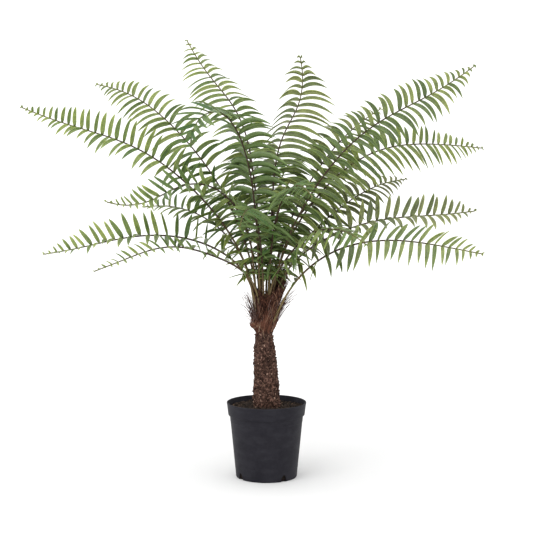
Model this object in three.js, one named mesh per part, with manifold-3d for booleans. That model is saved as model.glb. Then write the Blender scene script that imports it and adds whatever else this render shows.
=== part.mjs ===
// Potted fern: a nursery pot of soil, a fibrous trunk, a crown sheath and twenty-four fronds.
// Units are millimetres, +Z is up, the pot stands on z = 0 and the viewer stands towards -Y.
import * as THREE from 'three';
import { mergeVertices } from 'three/addons/utils/BufferGeometryUtils.js';
import Module from 'manifold-3d';

const wasm = await Module();
wasm.setup();

const FIT_GAP = 0.3;

// Pot
const POT_HEIGHT = 165;
const POT_RIM_RADIUS = 87;
const POT_TAPER = 13.5;
const POT_WALL = 2;
const POT_CORNER = 3;
const RIM_BAND_HEIGHT = 28;
const RIM_BAND_STEP = 3.5;
const RIM_BAND_FLARE = 3.5;
const DRAIN_COUNT = 4;
const DRAIN_AZIMUTH = 34;
const DRAIN_WIDTH = 14;
const DRAIN_HEIGHT = 15;
const DRAIN_INSET = 6;

// Soil and trunk
const SOIL_DROP = 12;
const SOIL_MOUND = 4;
const TRUNK_BURIED = 60;
const TRUNK_HEIGHT = 167;
const TRUNK_BASE_RADIUS = 28;
const TRUNK_NECK_RADIUS = 17.5;
const TRUNK_LEAN = -4;
const TRUNK_LUMP = 0.035;

// Stipes, the bare lower stems of the fronds, stand in three whorls inside the sheath
const STIPE_DIAMETER = 4.6;
const STIPE_GAP = 1.8;
const STIPE_ANGLE = 84;
const STIPE_STRAIGHT = 45;
const STIPE_BURIED = 8;
const STIPE_BARE = 110;
const STIPE_STATION = 24;
const WHORLS = 3;
const TIP_DIAMETER = 2.6;
const ROOT_ROLL = 1;

// Crown sheath
const SHEATH_HEIGHT = 118;
const SHEATH_WALL = 9;
const SHEATH_MOUTH = 40;
const SHEATH_LEAN = 12;
const SHEATH_CUP = 62;
const SHEATH_NOTCH_DEPTH = 38;
const SHEATH_NOTCH_WIDTH = 24;
const STIPE_CLEARANCE = 0.4;
const CHANNEL_PAIRS = 2;

// Pinnae, the leaflets set in pairs along each frond
const PINNA_LENGTH = 76;
const PINNA_WIDTH = 10;
const PINNA_SPACING_LOW = 23;
const PINNA_SPACING_TIP = 12;
const PINNA_SHORTEST = 6;
const PINNA_GAP = 1;
const PINNA_LEAN_LOW = 6;
const PINNA_LEAN_TIP = 17;

const POT_BODY_TOP_RADIUS = POT_RIM_RADIUS - RIM_BAND_FLARE - RIM_BAND_STEP;
const POT_BASE_RADIUS = POT_BODY_TOP_RADIUS - POT_TAPER;
const POT_FLOOR = POT_WALL;
const STIPE_SPACING = STIPE_DIAMETER + STIPE_GAP;
const SOIL_TOP = POT_HEIGHT - SOIL_DROP;
const TRUNK_TOP = SOIL_TOP + TRUNK_HEIGHT;
const SHEATH_BOTTOM = TRUNK_TOP + FIT_GAP;
const SHEATH_TOP = SHEATH_BOTTOM + SHEATH_HEIGHT;
const STIPE_START = SHEATH_BOTTOM + STIPE_BURIED;

// Each frond: azimuth, whorl (0 is innermost), length, elevation at each quarter, sweep, roll, lift.
// Azimuth 0 points to +X; roll turns the blade about its stem; lift raises both rows of pinnae.
// A stipe angle of its own lets a frond leave low through the side of the sheath.
const FRONDS = [
  { azimuth: 175, whorl: 2, length: 758, rise: [56, 38, 17, 22], sweep: 0, roll: -50, lift: 25 },
  { azimuth: 155, whorl: 1, length: 718, rise: [67, 51, 36, 10], sweep: 0, roll: -45, lift: 8 },
  { azimuth: 114, whorl: 0, length: 715, rise: [83, 71, 40, 56], sweep: 32, roll: -20, lift: -15 },
  { azimuth: 250, whorl: 1, length: 615, rise: [82, 72, 38, -85], sweep: -40, roll: -10, lift: 12 },
  { azimuth: 200, whorl: 1, length: 580, rise: [80, 37, -26, 16], sweep: 0, roll: -30, lift: 25 },
  { azimuth: 150, whorl: 2, length: 455, rise: [60, 34, 10, -8], sweep: 0, roll: -30, lift: 20 },
  { azimuth: 190, whorl: 2, length: 580, rise: [36, 6, -12, -8], sweep: 0, roll: -30, lift: 30 },
  { azimuth: 210, whorl: 2, length: 500, rise: [31, 14, -15, -17], sweep: 0, roll: -20, lift: 22 },
  { azimuth: 56, whorl: 0, length: 625, rise: [86, 79, 46, 110], sweep: 0, roll: 0, lift: -25 },
  { azimuth: 5, whorl: 1, length: 760, rise: [65, 49, 27, 36], sweep: 0, roll: 50, lift: 5 },
  { azimuth: 20, whorl: 1, length: 748, rise: [59, 36, 3, -6], sweep: 0, roll: 50, lift: 5 },
  { azimuth: 40, whorl: 1, length: 615, rise: [66, 52, 38, 24], sweep: 0, roll: 40, lift: 0 },
  { azimuth: 30, whorl: 2, length: 515, rise: [50, 36, 24, 4], sweep: 0, roll: 35, lift: 5 },
  { azimuth: 355, whorl: 2, length: 565, rise: [41, 19, 4, 8], sweep: 0, roll: 30, lift: 20 },
  { azimuth: 318, whorl: 2, length: 410, rise: [54, 37, 0, -32], sweep: 0, roll: 20, lift: -20 },
  { azimuth: 335, whorl: 2, length: 560, rise: [38, 11, -6, -9], sweep: 0, roll: 35, lift: 5, stipe: 64 },
  { azimuth: 100, whorl: 1, length: 600, rise: [74, 50, 20, -5], sweep: 0, roll: 0, lift: -10 },
  { azimuth: 80, whorl: 2, length: 560, rise: [58, 28, 5, -10], sweep: 0, roll: 0, lift: 0 },
  { azimuth: 115, whorl: 2, length: 560, rise: [56, 25, 0, -10], sweep: 0, roll: -10, lift: 5 },
  { azimuth: 55, whorl: 2, length: 540, rise: [58, 30, 5, -15], sweep: 0, roll: 15, lift: 5 },
  { azimuth: 292, whorl: 1, length: 470, rise: [80, 56, 14, -30], sweep: 0, roll: 25, lift: -10 },
  { azimuth: 330, whorl: 0, length: 330, rise: [86, 80, 75, 60], sweep: 0, roll: 0, lift: 15 },
  { azimuth: 258, whorl: 1, length: 430, rise: [76, 46, 4, -40], sweep: 0, roll: -25, lift: -5 },
  { azimuth: 75, whorl: 1, length: 580, rise: [70, 44, 14, -10], sweep: 0, roll: 0, lift: -10 },
];

const radians = THREE.MathUtils.degToRad;
const lerp = THREE.MathUtils.lerp;
const smooth = THREE.MathUtils.smoothstep;

function mesh(name, geometry, color, roughness) {
  const part = new THREE.Mesh(geometry, new THREE.MeshStandardMaterial({ color, roughness, metalness: 0 }));
  part.name = name;
  return part;
}

// LatheGeometry turns its profile about Y, so it is stood up to turn about Z.
function lathe(profile, segments) {
  const points = profile.map(([r, z]) => new THREE.Vector2(r, z));
  return new THREE.LatheGeometry(points, segments).rotateX(Math.PI / 2);
}

function toManifold(geometry) {
  const bare = geometry.clone();
  bare.deleteAttribute('normal');
  bare.deleteAttribute('uv');
  const merged = mergeVertices(bare, 1e-4);
  const vertProperties = new Float32Array(merged.attributes.position.array);
  const triVerts = new Uint32Array(merged.index.array);
  return new wasm.Manifold(new wasm.Mesh({ numProp: 3, vertProperties, triVerts }));
}

function toGeometry(solid) {
  const out = solid.getMesh();
  const geometry = new THREE.BufferGeometry();
  geometry.setAttribute('position', new THREE.BufferAttribute(new Float32Array(out.vertProperties), 3));
  geometry.setIndex(Array.from(out.triVerts));
  return geometry;
}

function fromFaces(vertices, faces) {
  const geometry = new THREE.BufferGeometry();
  const flat = vertices.flatMap((v) => [v.x, v.y, v.z]);
  geometry.setAttribute('position', new THREE.Float32BufferAttribute(flat, 3));
  geometry.setIndex(faces.flat());
  return geometry;
}

// Pot: thin tapering wall, a collar round the rim and drain notches cut through the bottom corner.
function potOuterRadius(z) {
  const bandBottom = POT_HEIGHT - RIM_BAND_HEIGHT;
  if (z <= bandBottom) {
    return lerp(POT_BASE_RADIUS, POT_BODY_TOP_RADIUS, z / bandBottom);
  }
  return lerp(POT_BODY_TOP_RADIUS + RIM_BAND_STEP, POT_RIM_RADIUS, (z - bandBottom) / RIM_BAND_HEIGHT);
}

function potGeometry() {
  const bandBottom = POT_HEIGHT - RIM_BAND_HEIGHT;
  const innerStep = bandBottom + POT_WALL;
  const profile = [
    [0, 0],
    [POT_BASE_RADIUS - POT_CORNER, 0],
    [potOuterRadius(POT_CORNER), POT_CORNER],
    [potOuterRadius(bandBottom), bandBottom],
    [potOuterRadius(bandBottom) + RIM_BAND_STEP, bandBottom + 0.01],
    [POT_RIM_RADIUS, POT_HEIGHT],
    [POT_RIM_RADIUS - POT_WALL, POT_HEIGHT],
    [potOuterRadius(innerStep) - POT_WALL, innerStep + 0.01],
    [potOuterRadius(bandBottom) - POT_WALL, innerStep],
    [potOuterRadius(POT_FLOOR) - POT_WALL, POT_FLOOR],
    [0, POT_FLOOR],
  ];
  let solid = toManifold(lathe(profile, 48));
  for (let i = 0; i < DRAIN_COUNT; i += 1) {
    const cutter = new THREE.CylinderGeometry(1, 1, 2 * DRAIN_INSET, 16);
    cutter.rotateZ(Math.PI / 2);
    cutter.scale(1, DRAIN_WIDTH / 2, DRAIN_HEIGHT);
    cutter.translate(POT_BASE_RADIUS, 0, 0);
    cutter.rotateZ(radians(DRAIN_AZIMUTH + (360 * i) / DRAIN_COUNT));
    solid = solid.subtract(toManifold(cutter));
  }
  return toGeometry(solid);
}

// Soil: fills the pot, mounds up to the trunk and holds its buried foot in a well.
function soilGeometry() {
  const bandBottom = POT_HEIGHT - RIM_BAND_HEIGHT;
  const innerStep = bandBottom + POT_WALL;
  const bottom = POT_FLOOR + FIT_GAP;
  const well = TRUNK_BASE_RADIUS + FIT_GAP;
  const wellFloor = SOIL_TOP - TRUNK_BURIED - FIT_GAP;
  const inner = (z) => potOuterRadius(z) - POT_WALL - FIT_GAP;
  const stepRadius = potOuterRadius(bandBottom) - POT_WALL - FIT_GAP;
  const edge = inner(SOIL_TOP);
  const profile = [
    [0, bottom],
    [inner(bottom), bottom],
    [stepRadius, innerStep + FIT_GAP],
    [inner(innerStep + FIT_GAP), innerStep + 2 * FIT_GAP],
    [edge, SOIL_TOP],
    [lerp(edge, well, 0.4), SOIL_TOP + 0.3 * SOIL_MOUND],
    [lerp(edge, well, 0.75), SOIL_TOP + 0.4 * SOIL_MOUND],
    [well, SOIL_TOP + SOIL_MOUND],
    [well, wellFloor],
    [0, wellFloor],
  ];
  return lathe(profile, 40);
}

// Trunk: a lumpy mantle of roots that narrows to a neck and leans a little.
function trunkShift(z) {
  return TRUNK_LEAN * smooth(z, SOIL_TOP + SOIL_MOUND, TRUNK_TOP);
}

function trunkGeometry() {
  const foot = SOIL_TOP - TRUNK_BURIED;
  const above = SOIL_TOP + SOIL_MOUND + FIT_GAP;
  const steps = 13;
  const profile = [[0, foot], [TRUNK_BASE_RADIUS, foot], [TRUNK_BASE_RADIUS, above]];
  for (let i = 1; i <= steps; i += 1) {
    const t = i / steps;
    const z = lerp(above, TRUNK_TOP, t);
    profile.push([lerp(TRUNK_BASE_RADIUS, TRUNK_NECK_RADIUS, t * t), z]);
  }
  profile.push([0, TRUNK_TOP]);
  const geometry = lathe(profile, 28);
  const position = geometry.attributes.position;
  for (let i = 0; i < position.count; i += 1) {
    const x = position.getX(i);
    const y = position.getY(i);
    const z = position.getZ(i);
    const fade = smooth(z, above, above + 20) * (1 - smooth(z, TRUNK_TOP - 20, TRUNK_TOP));
    const angle = Math.atan2(y, x);
    const lumps = Math.sin(3 * angle + z / 9) * Math.cos(z / 6) + 0.6 * Math.sin(7 * angle - z / 5);
    const swell = 1 + TRUNK_LUMP * fade * lumps;
    position.setXYZ(i, x * swell + trunkShift(z), y * swell, z);
  }
  return geometry;
}

// Fronds. Stipe bases share out each whorl evenly, in the order of the fronds' azimuths.
function whorlRadius(whorl) {
  return STIPE_SPACING * (0.78 + whorl);
}

function stipeSlots() {
  const slots = new Map();
  for (let whorl = 0; whorl < WHORLS; whorl += 1) {
    const ring = FRONDS.filter((frond) => frond.whorl === whorl);
    ring.sort((a, b) => a.azimuth - b.azimuth);
    const share = 360 / ring.length;
    const phase = ring.reduce((sum, frond, k) => sum + frond.azimuth - share * k, 0) / ring.length;
    ring.forEach((frond, k) => slots.set(frond, phase + share * k));
  }
  return slots;
}

// A straight stipe, then the elevation runs smoothly from its angle through the four quarter angles.
// The roll is greater at the root and settles half way up.
function traceFrond(frond, slot) {
  const steps = 96;
  const stipe = frond.stipe ?? STIPE_ANGLE;
  const angles = [stipe, ...frond.rise].map((angle, i) => new THREE.Vector2(i, angle));
  const elevation = new THREE.SplineCurve(angles);
  const heading = (s) => {
    const curved = Math.max(s * frond.length - STIPE_STRAIGHT, 0) / (frond.length - STIPE_STRAIGHT);
    const e = radians(elevation.getPoint(curved).y);
    const a = radians(frond.azimuth + frond.sweep * s * s);
    return new THREE.Vector3(Math.cos(e) * Math.cos(a), Math.cos(e) * Math.sin(a), Math.sin(e));
  };
  const radius = whorlRadius(frond.whorl);
  const x = trunkShift(TRUNK_TOP) + radius * Math.cos(radians(slot));
  const line = [new THREE.Vector3(x, radius * Math.sin(radians(slot)), STIPE_START)];
  for (let i = 0; i < steps; i += 1) {
    const step = heading((i + 0.5) / steps).multiplyScalar(frond.length / steps);
    line.push(line[i].clone().add(step));
  }
  const at = (arc) => {
    const s = Math.min(arc / frond.length, 1);
    const i = Math.min(Math.floor(s * steps), steps - 1);
    const point = line[i].clone().lerp(line[i + 1], s * steps - i);
    const ahead = heading(s);
    const roll = radians(frond.roll) * (1 + ROOT_ROLL * Math.max(0, 1 - 2 * s));
    const side = new THREE.Vector3(-ahead.y, ahead.x, 0).normalize().applyAxisAngle(ahead, roll);
    const up = ahead.clone().cross(side);
    return { point, ahead, side, up };
  };
  return { frond, line, at };
}

function stemWidth(frond, arc) {
  const s = arc / frond.length;
  return lerp(STIPE_DIAMETER, TIP_DIAMETER, smooth(s, 0.1, 1));
}

function pinnaReach(u) {
  const start = 0.6 + 0.4 * Math.min(1, u / 0.25);
  const end = 1 - Math.max(0, (u - 0.45) / 0.55) ** 2;
  return Math.max(PINNA_SHORTEST, PINNA_LENGTH * start * end);
}

// Places of the pinna pairs along the stem, closing up towards the tip.
function pinnaPlaces(frond) {
  const bare = Math.min(STIPE_BARE, 0.3 * frond.length);
  const places = [];
  let arc = bare + PINNA_WIDTH;
  while (arc < frond.length - PINNA_SPACING_TIP / 2) {
    const u = (arc - bare) / (frond.length - bare);
    const spacing = lerp(PINNA_SPACING_LOW, PINNA_SPACING_TIP, u);
    const reach = pinnaReach(u) * Math.min(1, 0.4 + frond.length / 1000);
    places.push({ arc, u, reach, width: Math.min(PINNA_WIDTH, 0.6 * spacing) });
    arc += spacing;
  }
  return places;
}

function nearest(point, line) {
  let best = Infinity;
  for (const node of line) {
    best = Math.min(best, point.distanceToSquared(node));
  }
  return Math.sqrt(best);
}

// The sheath leans to the right as it opens.
function sheathShift(z) {
  const t = THREE.MathUtils.clamp((z - SHEATH_BOTTOM) / SHEATH_HEIGHT, 0, 1);
  return trunkShift(TRUNK_TOP) + SHEATH_LEAN * t ** 1.5;
}

// A point is free when it is nearer to its own stem than to any other, and outside the sheath.
function isFree(point, own, traces) {
  const fromAxis = Math.hypot(point.x - sheathShift(point.z), point.y);
  if (point.z < SHEATH_TOP + PINNA_GAP && fromAxis < SHEATH_MOUTH + PINNA_GAP + STIPE_DIAMETER) {
    return false;
  }
  const home = nearest(point, own.line);
  return traces.every((other) => {
    if (other === own) {
      return true;
    }
    return nearest(point, other.line) > Math.max(home + 2 * PINNA_GAP, 1.5 * STIPE_DIAMETER);
  });
}

function pinnaTip(trace, place, hand, share, traces) {
  const { point, ahead, side, up } = trace.at(place.arc);
  const lift = radians(trace.frond.lift);
  const lean = radians(lerp(PINNA_LEAN_LOW, PINNA_LEAN_TIP, place.u));
  const out = side.clone().multiplyScalar(hand * Math.cos(lift)).addScaledVector(up, Math.sin(lift));
  out.multiplyScalar(Math.cos(lean)).addScaledVector(ahead, Math.sin(lean));
  const tip = point.clone().addScaledVector(out, place.reach * share);
  const roots = [place.arc - place.width / 2, place.arc, place.arc + place.width / 2];
  const free = roots.every((arc) => {
    const root = trace.at(arc).point;
    return [0.15, 0.3, 0.5, 0.7, 0.85, 1].every((t) => isFree(root.clone().lerp(tip, t), trace, traces));
  });
  return free ? tip : null;
}

function clearTip(trace, place, hand, traces) {
  for (let share = 1; share * place.reach >= PINNA_SHORTEST; share -= 0.08) {
    const tip = pinnaTip(trace, place, hand, share, traces);
    if (tip) {
      return tip;
    }
  }
  return null;
}

// A stem section is a triangle: left edge, right edge and a ridge along the top.
function stemSection(trace, arc) {
  const { point, side, up } = trace.at(arc);
  const half = stemWidth(trace.frond, arc) / 2;
  const left = point.clone().addScaledVector(side, half * 0.87).addScaledVector(up, -half / 2);
  const right = point.clone().addScaledVector(side, -half * 0.87).addScaledVector(up, -half / 2);
  const ridge = point.clone().addScaledVector(up, half);
  return [left, right, ridge];
}

// Stations up the bare stipe, the last of them at the root of the first pinna.
function stipeArcs(frond) {
  const first = pinnaPlaces(frond)[0];
  const end = first.arc - first.width / 2;
  const count = Math.ceil(end / STIPE_STATION);
  return Array.from({ length: count + 1 }, (_, i) => (end * i) / count);
}

function frondGeometry(trace, traces) {
  const arcs = stipeArcs(trace.frond).slice(0, -1).map((arc) => ({ arc }));
  for (const place of pinnaPlaces(trace.frond)) {
    const left = clearTip(trace, place, 1, traces);
    const right = clearTip(trace, place, -1, traces);
    arcs.push({ arc: place.arc - place.width / 2, left, right });
    arcs.push({ arc: place.arc + place.width / 2 });
  }
  arcs.push({ arc: trace.frond.length });
  const vertices = arcs.flatMap(({ arc }) => stemSection(trace, arc));
  const faces = [[0, 1, 2]];
  for (let i = 0; i + 1 < arcs.length; i += 1) {
    const [l, r, t] = [3 * i, 3 * i + 1, 3 * i + 2];
    const [l2, r2, t2] = [l + 3, r + 3, t + 3];
    faces.push([l, r2, r], [l, l2, r2]);
    if (arcs[i].left) {
      const tip = vertices.push(arcs[i].left) - 1;
      faces.push([l, t, tip], [t, t2, tip], [t2, l2, tip], [l2, l, tip]);
    } else {
      faces.push([l, t, t2], [l, t2, l2]);
    }
    if (arcs[i].right) {
      const tip = vertices.push(arcs[i].right) - 1;
      faces.push([t, r, tip], [r, r2, tip], [r2, t2, tip], [t2, t, tip]);
    } else {
      faces.push([t, r, r2], [t, r2, t2]);
    }
  }
  const last = 3 * (arcs.length - 1);
  faces.push([last, last + 2, last + 1]);
  return fromFaces(vertices, faces);
}

// A round channel that clears the stipe from below its foot until it has left the sheath.
function channel(trace) {
  const sides = 6;
  const radius = (STIPE_DIAMETER / 2 + STIPE_CLEARANCE) / Math.cos(Math.PI / sides);
  const places = pinnaPlaces(trace.frond).slice(0, CHANNEL_PAIRS);
  const past = places.flatMap(({ arc, width }) => [arc - width / 2, arc + width / 2]);
  const arcs = [...stipeArcs(trace.frond).slice(0, -1), ...past];
  const vertices = [];
  for (const arc of arcs) {
    const { point, ahead, side, up } = trace.at(arc);
    const centre = arc === 0 ? point.clone().addScaledVector(ahead, -STIPE_CLEARANCE) : point;
    for (let k = 0; k < sides; k += 1) {
      const angle = (2 * Math.PI * k) / sides;
      const spoke = side.clone().multiplyScalar(Math.cos(angle)).addScaledVector(up, Math.sin(angle));
      vertices.push(centre.clone().addScaledVector(spoke, radius));
    }
  }
  const faces = [];
  for (let k = 1; k + 1 < sides; k += 1) {
    faces.push([0, k + 1, k]);
    const last = vertices.length - sides;
    faces.push([last, last + k, last + k + 1]);
  }
  for (let i = 0; i + 1 < arcs.length; i += 1) {
    for (let k = 0; k < sides; k += 1) {
      const a = i * sides + k;
      const b = i * sides + ((k + 1) % sides);
      faces.push([a, b, b + sides], [a, b + sides, a + sides]);
    }
  }
  return fromFaces(vertices, faces);
}

// Sheath: old leaf bases matted into a funnel, split into two lobes, round every stipe.
function sheathGeometry(traces) {
  const shoulder = whorlRadius(WHORLS - 1) + STIPE_SPACING;
  const cup = SHEATH_BOTTOM + SHEATH_CUP;
  const profile = [
    [0, SHEATH_BOTTOM],
    [TRUNK_NECK_RADIUS + 3, SHEATH_BOTTOM],
    [shoulder + 3, SHEATH_BOTTOM + 10],
    [shoulder + 1.5, SHEATH_BOTTOM + 24],
    [shoulder + 1.5, SHEATH_BOTTOM + 45],
    [shoulder + 4, SHEATH_BOTTOM + 72],
    [SHEATH_MOUTH, SHEATH_TOP - 18],
    [SHEATH_MOUTH, SHEATH_TOP],
    [SHEATH_MOUTH - SHEATH_WALL / 2, SHEATH_TOP],
    [SHEATH_MOUTH - SHEATH_WALL, SHEATH_TOP - 18],
    [shoulder - SHEATH_WALL, cup],
    [0, cup - 4],
  ];
  const funnel = lathe(profile, 28);
  const position = funnel.attributes.position;
  for (let i = 0; i < position.count; i += 1) {
    position.setX(i, position.getX(i) + sheathShift(position.getZ(i)));
  }
  let solid = toManifold(funnel);
  const notch = new THREE.Shape();
  notch.moveTo(0, SHEATH_TOP - SHEATH_NOTCH_DEPTH);
  notch.lineTo(SHEATH_NOTCH_WIDTH, SHEATH_TOP + 1);
  notch.lineTo(-SHEATH_NOTCH_WIDTH, SHEATH_TOP + 1);
  notch.closePath();
  const wedge = new THREE.ExtrudeGeometry(notch, { depth: 4 * SHEATH_MOUTH, bevelEnabled: false });
  wedge.rotateX(Math.PI / 2);
  wedge.translate(0, 2 * SHEATH_MOUTH, 0);
  solid = solid.subtract(toManifold(wedge));
  for (const trace of traces) {
    solid = solid.subtract(toManifold(channel(trace)));
  }
  const bodies = solid.decompose();
  bodies.sort((a, b) => b.volume() - a.volume());
  return toGeometry(bodies[0]);
}

const slots = stipeSlots();
const traces = FRONDS.map((frond) => traceFrond(frond, slots.get(frond)));

const fern = new THREE.Group();
fern.name = 'potted_fern';
fern.add(mesh('pot', potGeometry(), 0x34373c, 0.6));
fern.add(mesh('potting_soil', soilGeometry(), 0x2e241e, 0.95));
fern.add(mesh('trunk', trunkGeometry(), 0x4a342a, 0.95));
fern.add(mesh('crown_sheath', sheathGeometry(traces), 0x5b3c30, 0.95));
traces.forEach((trace, i) => {
  const name = `frond_${String(i + 1).padStart(2, '0')}`;
  fern.add(mesh(name, frondGeometry(trace, traces), 0x4f7a3a, 0.6));
});

export default fern;
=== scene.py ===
"""Potted fern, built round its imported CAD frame.

Everything is in metres. +Z is up, the pot stands on z = 0 and the viewer stands towards -Y.
"""

import math
import random

import bpy
import numpy as np
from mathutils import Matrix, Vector, noise


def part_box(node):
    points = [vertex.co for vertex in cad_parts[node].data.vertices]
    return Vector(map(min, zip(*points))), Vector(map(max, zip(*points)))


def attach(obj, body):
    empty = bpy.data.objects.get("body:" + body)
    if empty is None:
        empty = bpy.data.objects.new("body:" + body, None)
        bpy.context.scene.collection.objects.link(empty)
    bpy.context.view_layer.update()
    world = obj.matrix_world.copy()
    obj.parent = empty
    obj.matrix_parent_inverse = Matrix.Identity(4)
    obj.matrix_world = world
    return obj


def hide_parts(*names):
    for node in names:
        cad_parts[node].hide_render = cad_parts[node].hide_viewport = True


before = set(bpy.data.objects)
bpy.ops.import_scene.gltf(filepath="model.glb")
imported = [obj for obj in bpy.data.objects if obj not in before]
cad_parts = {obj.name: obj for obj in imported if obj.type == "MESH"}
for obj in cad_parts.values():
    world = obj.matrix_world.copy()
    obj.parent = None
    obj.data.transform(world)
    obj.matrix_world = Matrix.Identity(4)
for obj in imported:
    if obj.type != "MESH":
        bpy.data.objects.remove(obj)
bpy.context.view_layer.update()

# ---------------------------------------------------------------- driving sizes
POT_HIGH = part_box("pot")[1]
SOIL_LOW, SOIL_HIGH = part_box("potting_soil")
TRUNK_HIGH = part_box("trunk")[1]
SHEATH_LOW, SHEATH_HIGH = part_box("crown_sheath")

FIT_GAP = 0.0003
POT_HEIGHT = POT_HIGH[2]
POT_RIM_RADIUS = 0.087
POT_TAPER = 0.0205
RIM_BAND_FLARE = 0.007
POT_BASE_RADIUS = POT_RIM_RADIUS - POT_TAPER
POT_BODY_TOP_RADIUS = POT_RIM_RADIUS - RIM_BAND_FLARE
POT_WALL = 0.002
RIM_BAND_HEIGHT = 0.028
RIM_BAND_STEP = 0.0035
DRAIN_COUNT = 4
DRAIN_FIRST = math.radians(34)
DRAIN_WIDTH = 0.014
DRAIN_HEIGHT = 0.015
DRAIN_INSET = 0.006

SOIL_MOUND = 0.004
SOIL_TOP = SOIL_HIGH[2] - SOIL_MOUND
TRUNK_TOP = TRUNK_HIGH[2]
TRUNK_BASE_RADIUS = 0.028
TRUNK_NECK_RADIUS = 0.0175
TRUNK_LEAN = -0.004

SHEATH_BOTTOM = SHEATH_LOW[2]
SHEATH_TOP = SHEATH_HIGH[2]
SHEATH_LEAN = 0.012

STIPE_DIAMETER = 0.0046
STIPE_SPACING = 0.0064
STIPE_ANGLE = 84
STIPE_STRAIGHT = 0.045
STIPE_START = SHEATH_BOTTOM + 0.008
STIPE_BARE = 0.110
TIP_DIAMETER = 0.0026
WHORLS = 3
LOW_STIPE_AZIMUTH = 335
LOW_STIPE_ANGLE = 64

PINNA_LENGTH = 0.076
PINNA_WIDTH = 0.0105
PINNA_SPACING_LOW = 0.023
PINNA_SPACING_TIP = 0.012
EXTRA_SAG = 0.12
ROOT_ROLL = 1.0
TRUNK_ROOTS = 420

# Each frond: azimuth, whorl, length, elevation at each quarter, sweep, roll, lift, sag,
# age_and_shade.
# age_and_shade runs from 0, a dark mature leaf, to 1, a light young one, and just below 0 is darker
# still.
# It is partly the leaf's maturity and partly painted shade and light: shaded fronds are set darker,
# lit ones lighter.
FRONDS = [
    (175, 2, 0.758, (56, 38, 17, 22), 0, -50, 25, 0.10, 0.45),
    (155, 1, 0.718, (67, 51, 36, 10), 0, -45, 8, 0.15, 0.30),
    (114, 0, 0.715, (83, 71, 40, 56), 32, -20, -15, 0.15, 0.40),
    (250, 1, 0.615, (82, 72, 38, -85), -40, -10, 12, 0.20, 0.05),
    (200, 1, 0.580, (80, 37, -26, 16), 0, -30, 25, 0.15, 0.35),
    (150, 2, 0.455, (60, 34, 10, -8), 0, -30, 20, 0.15, 0.15),
    (190, 2, 0.580, (36, 6, -12, -8), 0, -30, 30, 0.10, 0.55),
    (210, 2, 0.500, (31, 14, -15, -17), 0, -20, 22, 0.20, 0.40),
    (56, 0, 0.625, (86, 79, 46, 110), 0, 0, -25, 0.20, 0.15),
    (5, 1, 0.760, (65, 49, 27, 36), 0, 50, 5, 0.12, 0.15),
    (20, 1, 0.748, (59, 36, 3, -6), 0, 50, 5, 0.15, 0.55),
    (40, 1, 0.615, (66, 52, 38, 24), 0, 40, 0, 0.15, 0.20),
    (30, 2, 0.515, (50, 36, 24, 4), 0, 35, 5, 0.15, 0.10),
    (355, 2, 0.565, (41, 19, 4, 8), 0, 30, 20, 0.10, 0.30),
    (318, 2, 0.410, (54, 37, 0, -32), 0, 20, -20, 0.25, 0.50),
    (335, 2, 0.560, (38, 11, -6, -9), 0, 35, 5, 0.15, 0.50),
    (100, 1, 0.600, (74, 50, 20, -5), 0, 0, -10, 0.15, 0.30),
    (80, 2, 0.560, (58, 28, 5, -10), 0, 0, 0, 0.15, 0.30),
    (115, 2, 0.560, (56, 25, 0, -10), 0, -10, 5, 0.15, 0.25),
    (55, 2, 0.540, (58, 30, 5, -15), 0, 15, 5, 0.15, 0.25),
    (292, 1, 0.470, (80, 56, 14, -30), 0, 25, -10, 0.20, -0.05),
    (330, 0, 0.330, (86, 80, 75, 60), 0, 0, 15, 0.10, 0.70),
    (258, 1, 0.430, (76, 46, 4, -40), 0, -25, -5, 0.20, -0.05),
    (75, 1, 0.580, (70, 44, 14, -10), 0, 0, -10, 0.15, 0.25),
]


# Habits by frond number: how bluntly it ends, how untidy its pinnae are, how long they are, how
# far they bow and how brown its green is, below nought for a deep green.
USUAL_HABIT = (2.0, 1.0, 1.0, 1.8, 0.1)
HABITS = {
    1: (2.2, 1.0, 1.0, 0.7, 0.0),
    2: (2.6, 1.0, 1.0, 1.4, 0.2),
    3: (3.2, 1.0, 1.0, 2.2, 0.2),
    4: (3.4, 1.3, 1.35, 2.2, -0.9),
    5: (2.0, 1.0, 1.0, 2.2, 0.0),
    6: (2.0, 1.0, 0.9, 1.4, 0.1),
    7: (2.0, 1.0, 1.0, 0.5, 0.0),
    8: (1.6, 1.0, 0.75, 1.2, 0.1),
    9: (3.6, 1.0, 1.22, 2.2, 0.6),
    10: (2.8, 1.0, 1.08, 2.4, 0.4),
    11: (2.2, 1.0, 1.05, 0.7, 0.2),
    12: (2.6, 1.0, 1.0, 1.8, 0.6),
    13: (2.0, 1.0, 1.0, 2.0, 0.9),
    14: (2.8, 1.0, 1.14, 1.0, 0.8),
    15: (2.0, 1.4, 1.0, 1.2, -0.4),
    16: (2.4, 1.0, 1.05, 0.9, 0.3),
    17: (2.0, 1.9, 0.8, 2.6, -0.4),
    18: (2.0, 1.7, 0.74, 2.4, -0.4),
    19: (2.0, 1.7, 0.74, 2.4, -0.4),
    20: (2.0, 1.7, 0.74, 2.4, -0.4),
    21: (2.0, 2.3, 0.85, 1.6, -0.6),
    22: (3.0, 1.0, 1.0, 2.0, 0.1),
    23: (2.0, 2.3, 0.85, 1.6, -0.6),
    24: (2.0, 1.9, 0.74, 2.4, -0.4),
}


def lerp(a, b, t):
    return a + (b - a) * t


def smoothstep(t):
    t = min(max(t, 0.0), 1.0)
    return t * t * (3 - 2 * t)


def trunk_shift(z):
    low = SOIL_TOP + SOIL_MOUND
    return TRUNK_LEAN * smoothstep((z - low) / (TRUNK_TOP - low))


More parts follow.
